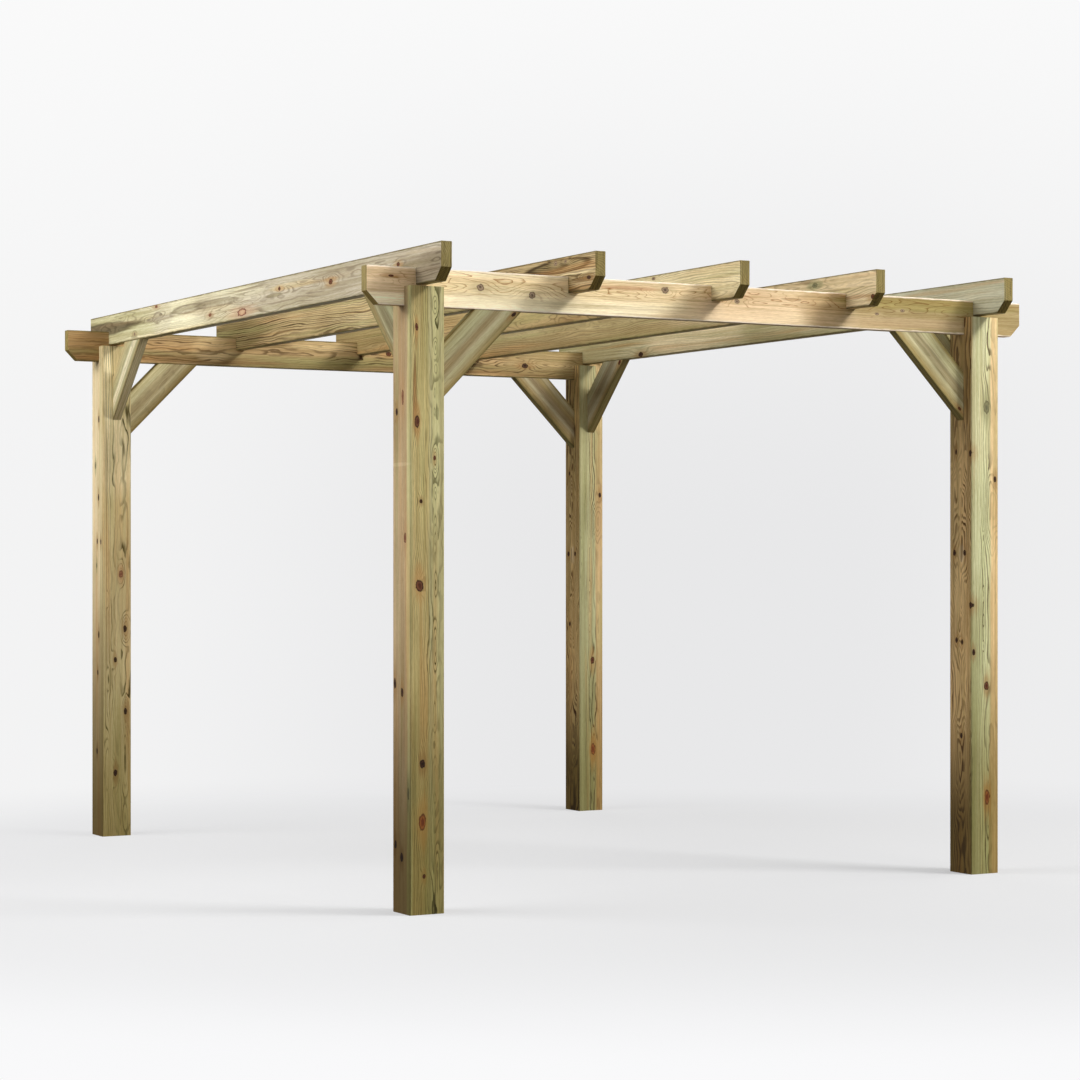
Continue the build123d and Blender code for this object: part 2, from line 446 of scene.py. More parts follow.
WOODS["beam_back"] = Wood([
    Face("front", across((0, HONEY, 0.5), (0.1, BROWN_BAND, 0.8), (0.3, OLIVE_TAN, 0.8), (0.5, HONEY, 1.1),
            (0.85, HONEY, 1.0), (1, STRAW, 0.6)),
        eyes=[(2590, 2, 260, 60, -5), (2330, -10, 120, 30, -2), (1650, 20, 120, 26, -2)],
        dark=[(2420, -10, 17, 12)], brown=[(1650, 20, 15, 10)],
        stains_and_painted_light=[(60, 0, 160, 90, ORANGE_BROWN, 0.7), (560, -32, 420, 12, BROWN_BAND, 0.6),
            (1330, 46, 230, 26, PALE_HONEY, 0.8), (1010, 50, 120, 22, BROWN_BAND, 0.5),
            (2520, -4, 260, 46, PALE_HONEY, 0.25), (2600, 26, 200, 5, BROWN_BAND, 0.8),
            (2600, -34, 180, 5, BROWN_BAND, 0.8), (2560, 0, 330, 100, OLIVE_TAN, 0.35),
            # the PALE_HONEY patch at 720 mm is painted light over the shadow of rafter_2
            (2200, 50, 200, 25, OLIVE, 0.5), (720, 10, 120, 60, PALE_HONEY, 0.7)]),
], pith=(-75, -10), ring=6, seed=6, line=DEEP_LINE, pale=(0.5, 0.45), swirl=8, wave=14)
WOODS["rafter_1"] = Wood([
    Face("left", across((0, OLD_CREAM, 0.6), (0.12, YELLOW_CREAM, 0.5), (0.5, YELLOW_CREAM, 0.6),
            (1, YELLOW_CREAM, 0.5)),
        grey=[(573, -43, 12, 7)], red=[(843, 60, 15, 7), (1463, -27, 15, 8)], ring=[(1807, -43, 44, 15)],
        brown=[(2187, 22, 12, 8), (2673, 7, 17, 11), (3257, 17, 12, 8)],
        stains_and_painted_light=[(2800, 0, 1350, 160, GREY_BEIGE, 1.0), (50, 0, 850, 180, STAINED_GREEN, 0.9),
            (170, 6, 460, 32, STAIN_GREY, 0.85, 0.6), (860, 8, 60, 26, LENS_GREY, 0.6, 0.7),
            (900, 4, 190, 12, LENS_GREY, 0.9), (920, 0, 130, 90, GREY_BEIGE, 0.35),
            (1190, 20, 170, 20, LENS_GREY, 0.7, 0.6), (2130, 0, 90, 11, DRAB, 0.7, 0.3),
            (573, -43, 34, 17, DRAB, 0.5, 0.4), (1560, 18, 230, 17, LENS_GREY, 0.7, 0.4),
            (2300, 25, 260, 14, OLD_CREAM, 0.5), (3540, -25, 330, 75, DUSK_GREY, 0.9)]),
    Face("right", even(0.6, STRAW, TAN)),
    Face("under", even(0.5, STRAW, TAN)),
    Face("top", even(0.5, YELLOW_CREAM, TAN)),
], pith=(-70, 5), ring=8, seed=7, line=BROWN_LINE, mottle=0.12)
WOODS["rafter_2"] = Wood([
    Face("left", even(1, GREY_STRAW), eyes=[(3330, 37, 250, 34, 1.5), (3552, -24, 160, 20, 4)],
        grey=[(3307, 51, 13, 8), (3380, 51, 10, 6)], dark=[(3552, -24, 14, 7)],
        stains_and_painted_light=[(3500, -24, 80, 7, BROWN_BAND, 0.9, 0.6), (200, -10, 480, 90, DEEP_OLIVE, 0.9),
            (1520, 0, 280, 80, PALE_TAN, 0.5), (3340, 37, 235, 28, OLIVE_TAN, 0.7, 1.0),
            (3250, 37, 140, 18, DEEP_OLIVE, 0.5, 0.8), (3470, 3, 150, 7, PALE_YELLOW, 0.7),
            (3500, -44, 130, 8, PALE_YELLOW, 0.5), (3500, -12, 120, 5, BROWN_BAND, 0.7),
            (3520, -34, 110, 4, BROWN_BAND, 0.7)]),
    Face("right", even(0.7, HONEY, TAN)),
    Face("top", even(0.6, TAN, HONEY)),
], pith=(-60, -90), ring=8, seed=8, line=DEEP_LINE, pale=(0.3, 0.45), swirl=10)
WOODS["rafter_3"] = Wood([
    Face("left", even(0.6, STRAW), grey=[(2980, 56, 13, 6)],
        stains_and_painted_light=[(3400, 30, 1300, 110, PALE_YELLOW, 0.85), (200, 0, 500, 90, OLIVE_TAN, 0.6)]),
    Face("top", even(0.5, STRAW, PALE_YELLOW)),
], pith=(-80, -60), ring=7, seed=9, line=BROWN_LINE)
WOODS["rafter_4"] = Wood([
    Face("left", even(0.5, STRAW, GREY_TAN), green=[(3187, 43, 16, 10)], brown=[(3580, -37, 14, 10)],
        stains_and_painted_light=[(3400, 0, 1300, 130, SAND, 0.8), (3187, 43, 60, 24, MOSS, 0.4),
            (3480, -28, 110, 9, RED_STREAK, 0.6)]),
    Face("top", even(0.5, STRAW, PALE_YELLOW)),
], pith=(-70, 50), ring=8, seed=10, line=BROWN_LINE)
WOODS["rafter_5"] = Wood([
    Face("left", even(0.35, MIST_TAN, MIST_TAN, STRAW), dark=[(810, -56, 20, 12)],
        stains_and_painted_light=[(1300, 0, 450, 100, SAND, 0.6), (1950, 0, 260, 110, GREY_TAN, 0.6),
            (3400, 0, 900, 130, GREEN_BEIGE, 1.0), (3500, 10, 500, 18, WHITE_GREEN, 0.5),
            (250, 0, 450, 130, GREY_TAN, 0.8)]),
    Face("top", even(0.5, GREY_BEIGE, STRAW)),
], pith=(-60, -130), ring=9, seed=11, line=OLIVE_LINE, swirl=4)

BRACE_TONES = across((0, OLIVE, 0.2), (0.12, OLIVE_TAN, 0.2), (0.3, SILVER_GREEN, 0.2), (0.42, DRAB, 0.3),
                     (0.58, DRAB, 0.3), (0.72, MOSS, 0.2), (0.9, MOSS, 0.2), (1, OLIVE, 0.2))
DARK_BRACE_TONES = across((0, DARK_OLIVE, 0.2), (0.1, OLIVE, 0.2), (0.3, MOSS, 0.2), (0.45, DRAB, 0.3),
                          (0.7, OLIVE, 0.3), (0.85, MOSS, 0.2), (1, OLIVE, 0.2))
PALE_BRACE_TONES = across((0, OLIVE_TAN, 0.3), (0.16, MOSS, 0.3), (0.28, YELLOW_CREAM, 0.2),
                          (0.42, YELLOW_CREAM, 0.3), (0.52, MOSS, 0.3), (0.8, GREY_TAN, 0.2),
                          (1, PALE_TAN, 0.2))
BRACE_FACES = {"rafter_brace_back_left": PALE_BRACE_TONES, "beam_brace_back_right": DARK_BRACE_TONES}
# the edge faces of rafter_brace_back_left are painted paler: painted light on faces that look down, away
# from the lamps
BRACE_EDGES_PAINTED_LIGHT = {"rafter_brace_back_left": OLD_CREAM}
BRACE_KNOTS = {             # on which face, and which
    "beam_brace_front_left": ("front", {"dark": [(32, -54, 11, 6)]}),
    "beam_brace_front_right": ("front", {"brown": [(448, -52, 9, 6)]}),
    "rafter_brace_back_right": ("left", {"brown": [(34, -52, 14, 9)]}),
    "rafter_brace_front_right": ("left", {"brown": [(440, 48, 13, 9)]}),
}
BRACE_TONES_AND_LIGHT = {            # what the tones of the two wide faces are multiplied by: mostly each brace's own tone, with painted light on beam_brace_back_left, which lies in shadow, and painted shade on rafter_brace_front_left, where the left lamps fall
    "beam_brace_front_right": (1.23, 1.23, 1.24, 1), "beam_brace_back_left": (1.36, 1.31, 1.30, 1),
    "beam_brace_back_right": (0.96, 0.88, 0.93, 1), "rafter_brace_front_left": (0.80, 0.82, 0.82, 1),
    "rafter_brace_back_right": (1.15, 1.18, 1.40, 1), "rafter_brace_back_left": (0.92, 0.90, 0.90, 1),
}
NO_SHADE = (1, 1, 1, 1)
FIRST_BRACE_SEED = 20
for place, timber in enumerate(t for t in timbers if t.slot == "brace_timber"):
    shade = BRACE_TONES_AND_LIGHT.get(timber.node, NO_SHADE)
    wide = [(spot, tuple(np.array(tone) * shade))
            for spot, tone in BRACE_FACES.get(timber.node, BRACE_TONES)]
    edge = BRACE_EDGES_PAINTED_LIGHT.get(timber.node, OLIVE)
    marked, knots = BRACE_KNOTS.get(timber.node, ("", {}))
    faces = [Face(side, wide, **(knots if side == marked else {})) for side in timber.sides[:2]]
    faces += [Face("outer", even(0.4, edge)), Face("inner", even(0.4, edge, SAGE))]
    WOODS[timber.node] = Wood(faces, pith=(-120, -40), ring=9, seed=FIRST_BRACE_SEED + place, edge=0.5,
                              mottle=0.1)


# ==== Surfaces ================================================================
def lines(marks, cell):
    """Lattice lines from the first mark to the last: every mark, and even steps of about a cell between."""
    marks = np.unique(np.round(marks, 7))
    counts = np.maximum(LEAST_CELLS, np.ceil(np.diff(marks) / cell)).astype(int)
    spans = [np.linspace(low, high, count, endpoint=False)
             for low, high, count in zip(marks, marks[1:], counts)]
    return np.append(np.concatenate(spans), marks[-1])


def lattice(timber):
    """Lattice lines along s, a and b, with one at every cut, and which of the cells between them hold wood:
    those that are in no notch."""
    half_a, half_b = timber.half
    radius = timber.arris
    marks_s = [0, timber.length] + [v for notch in timber.notches for v in notch[:2]]
    marks_a = [-half_a, radius - half_a, half_a - radius, half_a]
    marks_b = [-half_b, radius - half_b, half_b - radius, half_b]
    marks_b += [v for notch in timber.notches for v in notch[2:]]
    if timber.clip == "under":
        marks_s += [END_ZONE, timber.length - END_ZONE]
        marks_b += [END_CLIP - half_b]
    grid = [lines(marks_s, ALONG_CELL), lines(marks_a, ACROSS_CELL), lines(marks_b, ACROSS_CELL)]
    middle_s, _, middle_b = (line[:-1] + np.diff(line) / 2 for line in grid)
    solid = np.ones([len(line) - 1 for line in grid], bool)
    for start, end, low, high in timber.notches:
        inside_s = (middle_s > start) & (middle_s < end)
        inside_b = (middle_b > low) & (middle_b < high)
        solid &= ~(inside_s[:, None, None] & inside_b)
    return grid, solid


def skin(solid):
    """The squares that part wood from air in a lattice of cells, as four (i, j, k) corners each, seen from
    outside. A square lies wherever a filled cell and an empty one meet along one of the three axes."""
    steps = np.eye(3, dtype=int)
    squares = []
    for axis in range(3):
        margin = [(1, 1) if other == axis else (0, 0) for other in range(3)]
        change = np.diff(np.pad(solid.astype(np.int8), margin), axis=axis)
        one, two = steps[(axis + 1) % 3], steps[(axis + 2) % 3]
        ring = np.array((0 * one, one, one + two, two))
        for way, order in ((-1, ring), (1, ring[::-1])):
            squares.append(np.argwhere(change == way)[:, None, :] + order)
    return np.concatenate(squares)


def rounded(a, b, timber):
    """a and b with each corner square of the section bent to a quarter disc: a point (u, v) of the square
    goes to the same direction, at a distance of the larger of u and v."""
    half_a, half_b = timber.half
    u = np.clip(np.abs(a) - (half_a - timber.arris), 0, timber.arris)
    v = np.clip(np.abs(b) - (half_b - timber.arris), 0, timber.arris)
    away = np.hypot(u, v)
    bend = np.where(away > 0, np.maximum(u, v) / np.where(away > 0, away, 1), 1)
    return np.sign(a) * (np.abs(a) - u + u * bend), np.sign(b) * (np.abs(b) - v + v * bend)


def waves(s, t, seed):
    """Slow waves from 0 to 1 over a face: three sines of s and t, of given lengths, added up."""
    return 0.5 + (np.sin(s * 9.1 + seed) + np.sin(s * 23.7 + t * 31 + 2.3 * seed)
                  + np.sin(s * 61.3 - t * 47 + 4.1 * seed)) / 6


def planed(s, across, through, half_across, wood, sides):
    """How far in a face lies at each point: a hollow of 1 less (across / half_across) squared, slow planer
    waves, and a round dip at each knot of the face that the point is on, all of them gone at the arrises."""
    reach = np.clip(1 - (across / half_across) ** 2, 0, 1)
    hold = np.minimum(1, reach * PLANE_HOLD)
    inset = (CUP * reach + CHATTER * waves(s, across, wood.seed)) * hold
    for knot in wood.knots:
        if knot.side in sides:
            on_face = through > 0 if knot.side == sides[1] else through < 0
            away = np.hypot((s - knot.s * mm) / (knot.half_long * mm * DIP_SPREAD),
                            (across - knot.across * mm) / (knot.half_wide * mm * DIP_SPREAD))
            inset += KNOT_DIP * np.exp(-away ** 2) * on_face * hold
    return inset


def cut_ends(s, b, round_b, timber):
    """s drawn in to the cuts at the ends. Near a clipped end s becomes cut + s (zone - cut) / zone, where
    cut is how much the end is shortened at that b. A brace is scaled about its middle, so that its ends
    lean at 45 degrees."""
    half_b = timber.half[1]
    middle = timber.length / 2
    if timber.clip == "under":
        cut = np.clip(END_CLIP - half_b - b, 0, None)
        from_end = np.minimum(s, timber.length - s)
        moved = cut + from_end * (END_ZONE - cut) / END_ZONE
        moved = np.where(s < middle, moved, timber.length - moved)
        return np.where(from_end < END_ZONE, moved, s)
    if timber.clip == "mitre":
        return middle + (s - middle) * (middle - half_b - round_b) / middle
    return s


def surface(timber, wood):
    """The timber's skin, rounded, planed and cut. Its UV map is s, and how far round the section."""
    grid, solid = lattice(timber)
    shape = [len(line) for line in grid]
    used, faces = np.unique(np.ravel_multi_index(skin(solid).reshape(-1, 3).T, shape), return_inverse=True)
    faces = faces.reshape(-1, 4)
    s, a, b = (line[index] for line, index in zip(grid, np.unravel_index(used, shape)))

    half_a, half_b = timber.half
    outer_a = np.isclose(np.abs(a), half_a)
    outer_b = np.isclose(np.abs(b), half_b)
    round_a, round_b = rounded(a, b, timber)
    round_a -= np.sign(a) * planed(s, b, a, half_b, wood, timber.sides[:2]) * outer_a
    round_b -= np.sign(b) * planed(s, a, b, half_a, wood, timber.sides[2:]) * outer_b
    s = cut_ends(s, b, round_b, timber)
    points = timber.origin + np.stack((s, round_a, round_b), axis=1) @ timber.axes
    if np.linalg.det(timber.axes) < 0:
        faces = faces[:, ::-1]

    mesh = bpy.data.meshes.new(f"{timber.node}_timber")
    mesh.from_pydata(points, [], faces)
    girth = np.where(outer_a[faces].all(axis=1)[:, None], b[faces], a[faces] + half_a + half_b)
    mesh.uv_layers.new(name="grain").data.foreach_set(
        "uv", np.stack((s[faces].ravel(), girth.ravel()), axis=1).ravel())
    mesh.shade_smooth()
    mesh.set_sharp_from_angle(angle=SHARP_ANGLE)
    piece = bpy.data.objects.new(mesh.name, mesh)
    bpy.context.scene.collection.objects.link(piece)
    return piece


# ==== Shader maths ============================================================
class Value:
    """One socket of a material under construction. + - * / and abs add the Math or Vector Math node."""

    def __init__(self, sheet, socket):
        self.sheet, self.socket = sheet, socket

    def is_vector(self):
        return self.socket.type in ("VECTOR", "RGBA")

    def math(self, operation, *others):
        several = (self,) + others
        vector = any(isinstance(v, Value) and v.is_vector() for v in several)
        kind = "VectorMath" if vector else "Math"
        return self.sheet.node(kind, {"operation": operation}, *several)

    def flipped(self, operation, other):
        kind = "VectorMath" if self.is_vector() else "Math"
        return self.sheet.node(kind, {"operation": operation}, other, self)

    def __add__(self, other):
        return self.math("ADD", other)

    def __sub__(self, other):
        return self.math("SUBTRACT", other)

    def __mul__(self, other):
        return self.math("MULTIPLY", other)

    def __truediv__(self, other):
        return self.math("DIVIDE", other)

    def __rsub__(self, other):
        return self.flipped("SUBTRACT", other)

    def __abs__(self):
        return self.math("ABSOLUTE")

    __radd__ = __add__
    __rmul__ = __mul__

    def dot(self, direction):
        return self.sheet.node("VectorMath", {"operation": "DOT_PRODUCT"}, self, tuple(direction),
                               out="Value")

    def length(self):
        return self.sheet.node("VectorMath", {"operation": "LENGTH"}, self, out="Value")

    def rise(self, low, high, bottom=0.0, top=1.0):
        """bottom at low, top at high, level beyond them, a smooth step between; low may be the greater."""
        return self.sheet.node("MapRange", {"interpolation_type": "SMOOTHSTEP"}, self, low, high, bottom,
                               top)


class Sheet:
    """The nodes of a material or world under construction."""

    def __init__(self, owner):
        owner.use_nodes = True
        self.owner, self.tree = owner, owner.node_tree
        self.tree.nodes.clear()

    def node(self, kind, settings=None, *inputs, out=0, **named):
        """Adds a shader node, sets it up, and fills its sockets in order, or by name with _ for a space."""
        node = self.tree.nodes.new("ShaderNode" + kind)
        for key, value in (settings or {}).items():
            if key == "stops":
                self.fill_ramp(node.color_ramp, value)
            else:
                setattr(node, key, value)
        pairs = list(zip(node.inputs, inputs))
        pairs += [(node.inputs[key.replace("_", " ")], value) for key, value in named.items()]
        for socket, value in pairs:
            self.fill(socket, value)
        return Value(self, node.outputs[out]) if len(node.outputs) else None

    def fill(self, socket, value):
        """Links a socket to a value, or sets it to a number, a vector or a colour."""
        if isinstance(value, Value):
            self.tree.links.new(value.socket, socket)
        elif socket.type == "VECTOR" and not hasattr(value, "__len__"):
            socket.default_value = (value,) * 3
        else:
            socket.default_value = value

    def fill_ramp(self, ramp, stops):
        while len(ramp.elements) < len(stops):
            ramp.elements.new(0.5)
        for element, (place, colour) in zip(ramp.elements, stops):
            element.position = place
            element.color = colour

    def vector(self, x, y, z):
        return self.node("CombineXYZ", None, x, y, z)

    def noise(self, place, detail=2.0, roughness=0.5, out="Fac"):
        return self.node("TexNoise", {"noise_dimensions": "3D"}, Vector=place, Scale=1.0, Detail=detail,
                         Roughness=roughness, out=out)

    def ramp(self, place, stops):
        """The colour and the alpha of a ramp at place."""
        node = self.node("ValToRGB", {"stops": stops}, place).socket.node
        return Value(self, node.outputs[0]), Value(self, node.outputs[1])

    def faces(self, mask, one, two):
        """A pair of a colour and a number: pair one where mask is 0 and pair two where it is 1."""
        return self.mix(mask, one[0], two[0]), one[1] + mask * (two[1] - one[1])

    def mix(self, mask, one, two, blend="MIX"):
        """Colour one where mask is 0 and colour two where it is 1."""
        mixed = self.node("Mix", {"data_type": "RGBA", "blend_type": blend}, mask, out=2)
        sockets = mixed.socket.node.inputs
        self.fill(sockets[6], one)
        self.fill(sockets[7], two)
        return mixed

    def times(self, mask, colour, shade):
        """colour where mask is 0, and colour x shade where it is 1."""
        return self.mix(mask, colour, self.mix(1.0, colour, shade, "MULTIPLY"))

    def shaded(self, mask, colour, shade, strength):
        """colour moved towards colour x shade where mask is 1, and as far the other way where it is 0."""
        darker = tuple(1 - strength * (1 - c) for c in shade[:3]) + (1.0,)
        lighter = tuple(1 + strength * (1 - c) for c in shade[:3]) + (1.0,)
        return self.mix(1.0, colour, self.mix(mask, lighter, darker), "MULTIPLY")


# ==== Wood ====================================================================
# Each kind of knot: its heart, its outer wood, its rim and the wood round it, and how strongly that shows.
KNOT_KINDS = {
    "red": (srgb(116, 72, 50), srgb(146, 98, 68), srgb(104, 66, 46), srgb(180, 140, 96), 0.45),
    "brown": (srgb(84, 46, 28), srgb(120, 72, 46), srgb(66, 42, 26), srgb(186, 142, 84), 0.5),
    "dark": (srgb(46, 28, 16), srgb(82, 52, 32), srgb(48, 32, 20), srgb(156, 116, 68), 0.55),
    "grey": (srgb(104, 84, 66), srgb(168, 144, 116), srgb(124, 100, 76), srgb(196, 174, 128), 0.4),
    "green": (srgb(106, 102, 74), srgb(134, 128, 90), srgb(112, 106, 74), srgb(150, 146, 102), 0.6),
    "orange": (srgb(132, 70, 40), srgb(182, 112, 60), srgb(120, 76, 44), srgb(206, 156, 90), 0.5),
    "ring": (srgb(196, 164, 130), srgb(186, 146, 112), srgb(112, 56, 44), srgb(196, 150, 116), 0.4),
}
GREENER = srgb(158, 160, 100)       # the two mottles
WARMER = srgb(210, 156, 94)
END_GRAIN = srgb(140, 124, 66)
END_BAND = srgb(84, 70, 36)
UNDERCUT_SHADE = srgb(232, 224, 200)      # what the cut under an end multiplies its tone by: painted shade, as it faces down
LEFT_FOOT_SHADE = srgb(142, 136, 110)     # what the foot of a post is multiplied by on its left: painted shade
FOOT_SHADE = srgb(199, 194, 167)     # and on its other faces: painted shade, with some of the real darkening of a post's foot
STREAK_SHADE = srgb(214, 206, 184)  # what darker streaks and fibres multiply the tone by
CLOUD_SHADE = srgb(214, 206, 190)
STAIN_EDGE = srgb(150, 138, 118)
OTHER_FEET = (1.05, 2.15)   # where the other faces of a post get darker with painted shade, in metres from its head

KNOT_DEPTH = 26 * mm        # how deep a knot or an eye goes in from its face
PATCH_DEPTH = 12 * mm
FLOW = 2.0                  # how much longer than a knot the grain pushed aside by it is
PITH_STRAYS = 30 * mm       # how far the heart of a log strays from its place, to each side
PITH_TURNS = 0.7            # in a metre
TAPER = 9 * mm              # how far the rings move out in a metre
FINE_BEND = 2 * mm          # how far fine noise bends a ring
EDDY_BEND = 5 * mm
RING_VARIETY = 1.6          # how many rings a ring may lie from its even place
VARIETY_STEP = 0.35
PUSH_REACH = (3.6, 0.8)     # how many sizes from a knot its push starts, and is full
EYE_REACH = (1.1, 0.0)
LATE_RISE = (0.0, 0.34)     # the part of a ring over which late wood darkens, and that where it ends
LATE_END = (1.0, 0.93)
EDGE_BAND = (8 * mm, 2 * mm)    # how deep the tone of an edge ends, and is full
EDGE_WAVER = 9 * mm
RAGGED_RIM = 0.9            # how ragged a knot's rim is, in parts of its size
PATCH_REACH = (1.12, 0.65)  # how many of its half sizes from its middle a patch starts, and is full
DRY_ROUGHNESS = 0.68
GLOSS = 0.2                 # specular level of dry wood
BUMP_HEIGHT = 0.6 * mm
BUMP_STRENGTH = 0.35

# The noises: how many changes to a metre along the timber and across it, then detail and roughness.
SLOW = (2.6, 12, 2, 0.45)
EDDIES = (9, 36, 0, 0.5)
FINE = (24, 170, 2, 0.5)
STREAKS = (1.5, 95, 3, 0.6)
TINTS = (0.9, 24, 2, 0.5)
CLOUDS = (2.2, 5, 2, 0.5)
FIBRES = (40, 800, 2, 0.5)
RAGS = (45, 110, 2, 0.6)
LINE_STRENGTHS = (2.5, 18, 1, 0.5)
SEED_SHIFT = np.array((1.7, 3.1, 5.3))      # how far the noises move from one seed to the next


def least(values):
    """The least of some values at each place."""
    first, *others = values
    for other in others:
        first = first.math("MINIMUM", other)
    return first


class Log:
    """The wood of one timber, as values of the material under construction."""

    def __init__(self, m, timber, wood):
        self.m, self.timber, self.wood = m, timber, wood
        here = m.node("TexCoord", out="Object") - tuple(timber.origin)
        self.s, self.a, self.b = (here.dot(axis) for axis in timber.axes)
        self.spot = m.vector(self.s, self.a, self.b)
        self.seeded = self.spot + tuple(SEED_SHIFT * wood.seed)
        normal = m.node("NewGeometry", out="Normal")
        self.toward_s, self.toward_a, self.toward_b = (normal.dot(axis) for axis in timber.axes)
        self.on_b = (abs(self.toward_b) - abs(self.toward_a)).rise(-0.2, 0.2)
        self.slow, self.eddies, self.fine, self.streak, self.tint, self.cloud, self.fibre = (
            self.noise(*kind) for kind in (SLOW, EDDIES, FINE, STREAKS, TINTS, CLOUDS, FIBRES))
        self.knots = {}     # for each kind, how far its nearest knot is, and its nearest flow of grain
        for kind in dict.fromkeys(knot.kind for knot in wood.knots):
            same = [knot for knot in wood.knots if knot.kind == kind]
            self.knots[kind] = [least([self.away(knot, KNOT_DEPTH, stretch) for knot in same])
                                for stretch in (1, FLOW)]

    def noise(self, along, across, detail, roughness):
        return self.m.noise(self.seeded * (along, across, across), detail, roughness)

    def away(self, mark, depth, stretch=1, pointed=False):
        """0 at the middle of a mark, 1 on the skin of an egg with its half sizes, and more outside: the
        length of (spot - middle) / reach, or for a pointed shape the sum of its three parts. The egg goes
        depth deep through the face, and is stretched along the timber."""
        side = self.timber.sides.index(mark.side)
        order = [0, 1, 2] if side < 2 else [0, 2, 1]
        out = self.timber.half[side // 2] * (1 if side % 2 else -1)
        middle, reach = np.zeros(3), np.zeros(3)
        middle[order] = mark.s * mm, out, mark.across * mm
        reach[order] = mark.half_long * mm * stretch, depth, mark.half_wide * mm
        away = self.m.node("VectorMath", {"operation": "MULTIPLY_ADD"}, self.spot, tuple(1 / reach),
                           tuple(-middle / reach))
        return abs(away).dot((1, 1, 1)) if pointed else away.length()

    def late_wood(self):
        """Where the late wood of a ring is, and how strongly its line shows. A ring lies where the distance
        from the pith, bent by slow noise, by the log's taper and by each knot, passes a whole number of ring
        widths; a face cut along the rings shows arches and eyes, and one cut across them shows lines."""
        m, wood = self.m, self.wood
        stray = m.noise(m.vector(self.s * PITH_TURNS, wood.seed, 0.0), detail=1.0, out="Color")
        stray = stray * (2 * PITH_STRAYS) - PITH_STRAYS
        off_a, off_b = self.a - wood.pith[0] * mm, self.b - wood.pith[1] * mm
        distance = (m.vector(0.0, off_a, off_b) + stray * (0.0, 1.0, 1.0)).length()
        faced = m.mix(self.on_b, m.vector(off_a, 0, 0), m.vector(off_b, 0, 0))
        along_rings = (faced.length() / distance).rise(0.82, 0.95)
        radius = distance + self.s * TAPER + self.slow * (wood.wave * mm) + self.fine * FINE_BEND
        radius = radius + self.eddies * (EDDY_BEND + along_rings * (wood.swirl * mm))
        rings = radius / (wood.ring * mm)
        rings = rings + m.noise(m.vector(rings * VARIETY_STEP, wood.seed, 3.0), detail=1.0) * RING_VARIETY
        if self.knots:
            nearest = least([flow for _, flow in self.knots.values()])
            rings = rings + nearest.rise(*PUSH_REACH) * wood.push
        for eye in wood.eyes:
            away = self.away(eye, KNOT_DEPTH, pointed=eye.pointed)
            away = away + (self.slow - 0.5) * 0.6 + (self.eddies - 0.5) * 0.3
            rings = rings + away.rise(*EYE_REACH) * eye.rings
        phase = rings.math("FRACT")
        pale = self.on_b * (wood.pale[1] - wood.pale[0]) + wood.pale[0]
        late = (phase - pale).rise(*LATE_RISE) * phase.rise(*LATE_END)
        bold = m.node("TexWhiteNoise", {"noise_dimensions": "1D"}, W=rings.math("FLOOR"), out="Value")
        strength = self.noise(*LINE_STRENGTHS).rise(0.36, 0.6, 0.4, 1.0)
        return late, late * (bold * 0.5 + 0.5) * strength

    def face_tones(self):
        """The tones of the four faces, each across its own width, and how strongly the rings show there."""
        m, tones = self.m, self.wood.tones
        half_a, half_b = self.timber.half
        waver = (self.tint - 0.5) * 0.2 + (self.cloud - 0.5) * 0.12
        over_b = self.b / (2 * half_b) + 0.5 + waver
        over_a = self.a / (2 * half_a) + 0.5 + waver
        low_a, high_a, low_b, high_b = (tones[side] for side in self.timber.sides)
        on_a = m.faces(self.toward_a.rise(-0.25, 0.25), m.ramp(over_b, low_a), m.ramp(over_b, high_a))
        on_b = m.faces(self.toward_b.rise(-0.25, 0.25), m.ramp(over_a, low_b), m.ramp(over_a, high_b))
        return m.faces(self.on_b, on_a, on_b)

    def add_stains_and_painted_light(self, tone):
        """The stains of the wood and the few patches of painted light and shade, with ragged edges."""
        for patch in self.wood.stains_and_painted_light:
            away = self.away(patch, PATCH_DEPTH) + (self.slow - 0.5) * 0.9 + (self.streak - 0.5) * 0.5
            tone = self.m.mix(away.rise(*PATCH_REACH) * patch.strength, tone, patch.colour)
            if patch.outline:
                outline = away.rise(0.55, 0.85) * away.rise(1.1, 0.9) * patch.outline
                tone = self.m.times(outline, tone, STAIN_EDGE)
        return tone

    def streaked(self, tone):
        """Streaks along the grain, and slow changes of colour."""
        m, mottle = self.m, self.wood.mottle
        tone = m.shaded(self.streak.rise(0.7, 0.3), tone, STREAK_SHADE, 0.45)
        tone = m.mix(self.tint.rise(0.5, 0.72) * mottle, tone, GREENER)
        tone = m.mix(self.tint.rise(0.48, 0.28) * mottle, tone, WARMER)
        return m.shaded(self.cloud.rise(0.3, 0.7), tone, CLOUD_SHADE, 0.3)

    def edged(self, tone):
        """The arrises drawn towards edge_tone: dark lines, partly painted shade along the lower arrises, and
        on the front beam a pale painted highlight.
        """
        half_a, half_b = self.timber.half
        rim_a, rim_b = half_b - abs(self.b), half_a - abs(self.a)
        rim = rim_a + self.on_b * (rim_b - rim_a) + (self.fine - 0.5) * EDGE_WAVER
        return self.m.mix(rim.rise(*EDGE_BAND) * self.wood.edge, tone, self.wood.edge_tone)

